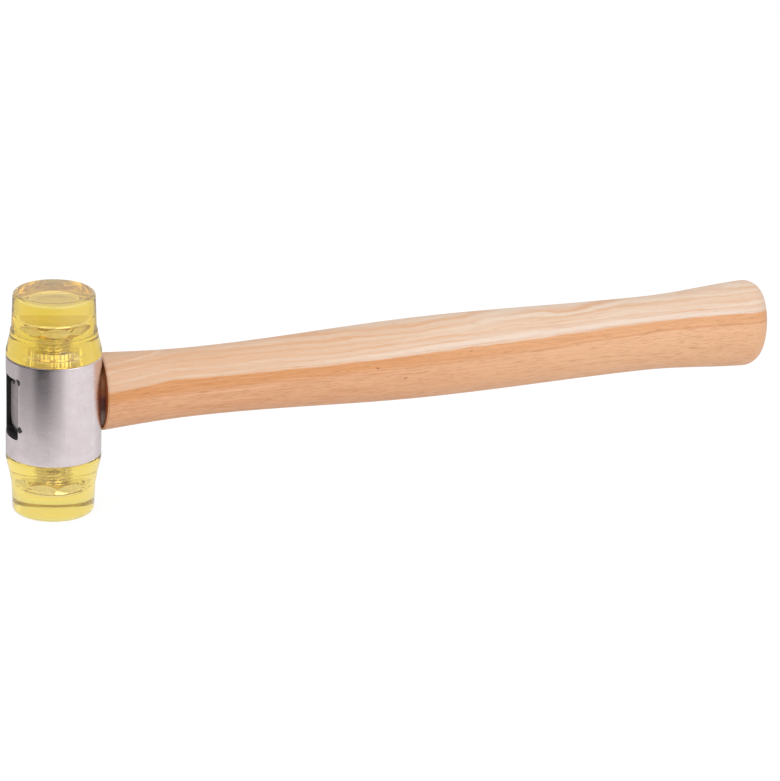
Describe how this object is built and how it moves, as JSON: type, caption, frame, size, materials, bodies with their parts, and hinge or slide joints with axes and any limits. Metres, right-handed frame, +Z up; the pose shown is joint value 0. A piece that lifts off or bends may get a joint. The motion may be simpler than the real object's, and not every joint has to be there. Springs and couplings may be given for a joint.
{
  "type": "soft face hammer",
  "caption": "Soft face hammer: round steel head with clear yellow screw-in plastic faces on an oval ash handle, for striking work without marking it.",
  "frame": {"origin": "centre of the lower striking face", "axes": "+Z up along the head towards the upper striking face, +X along the handle towards the butt"},
  "size_m": [0.3239, 0.037, 0.0893],
  "materials": {
    "plated_steel": "turned and matt plated",
    "bright_steel": "bright zinc plated",
    "yellow_acetate": "clear yellow cellulose acetate, moulded and polished",
    "ash": "sanded and clear lacquered",
    "beech": "sawn, sealed at the end"
  },
  "bodies": {
    "head": {"head_body": "plated_steel", "handle": "ash", "wood_wedge": "beech", "steel_wedge": "bright_steel"},
    "upper_ring": {"upper_lock_ring": "bright_steel"},
    "upper_face": {"upper_face": "yellow_acetate", "upper_bolt": "bright_steel"},
    "lower_ring": {"lower_lock_ring": "bright_steel"},
    "lower_face": {"lower_face": "yellow_acetate", "lower_bolt": "bright_steel"}
  },
  "joints": [
    {"name": "upper_face_lift", "type": "slide", "parent": "head", "child": "upper_ring", "axis": [0, 0, 1], "range_m": [0, 0.0057]},
    {"name": "upper_face_turn", "type": "hinge", "parent": "upper_ring", "child": "upper_face", "pos_m": [0, 0, 0.0641], "axis": [0, 0, 1], "range_deg": [0, 1368]},
    {"name": "lower_face_lift", "type": "slide", "parent": "head", "child": "lower_ring", "axis": [0, 0, -1], "range_m": [0, 0.0057]},
    {"name": "lower_face_turn", "type": "hinge", "parent": "lower_ring", "child": "lower_face", "pos_m": [0, 0, 0.0238], "axis": [0, 0, -1], "range_deg": [0, 1368]}
  ],
  "couplings": [
    {"joint": "upper_face_lift", "follows": "upper_face_turn", "m_per_rad": 0.00023873},
    {"joint": "lower_face_lift", "follows": "lower_face_turn", "m_per_rad": 0.00023873}
  ]
}
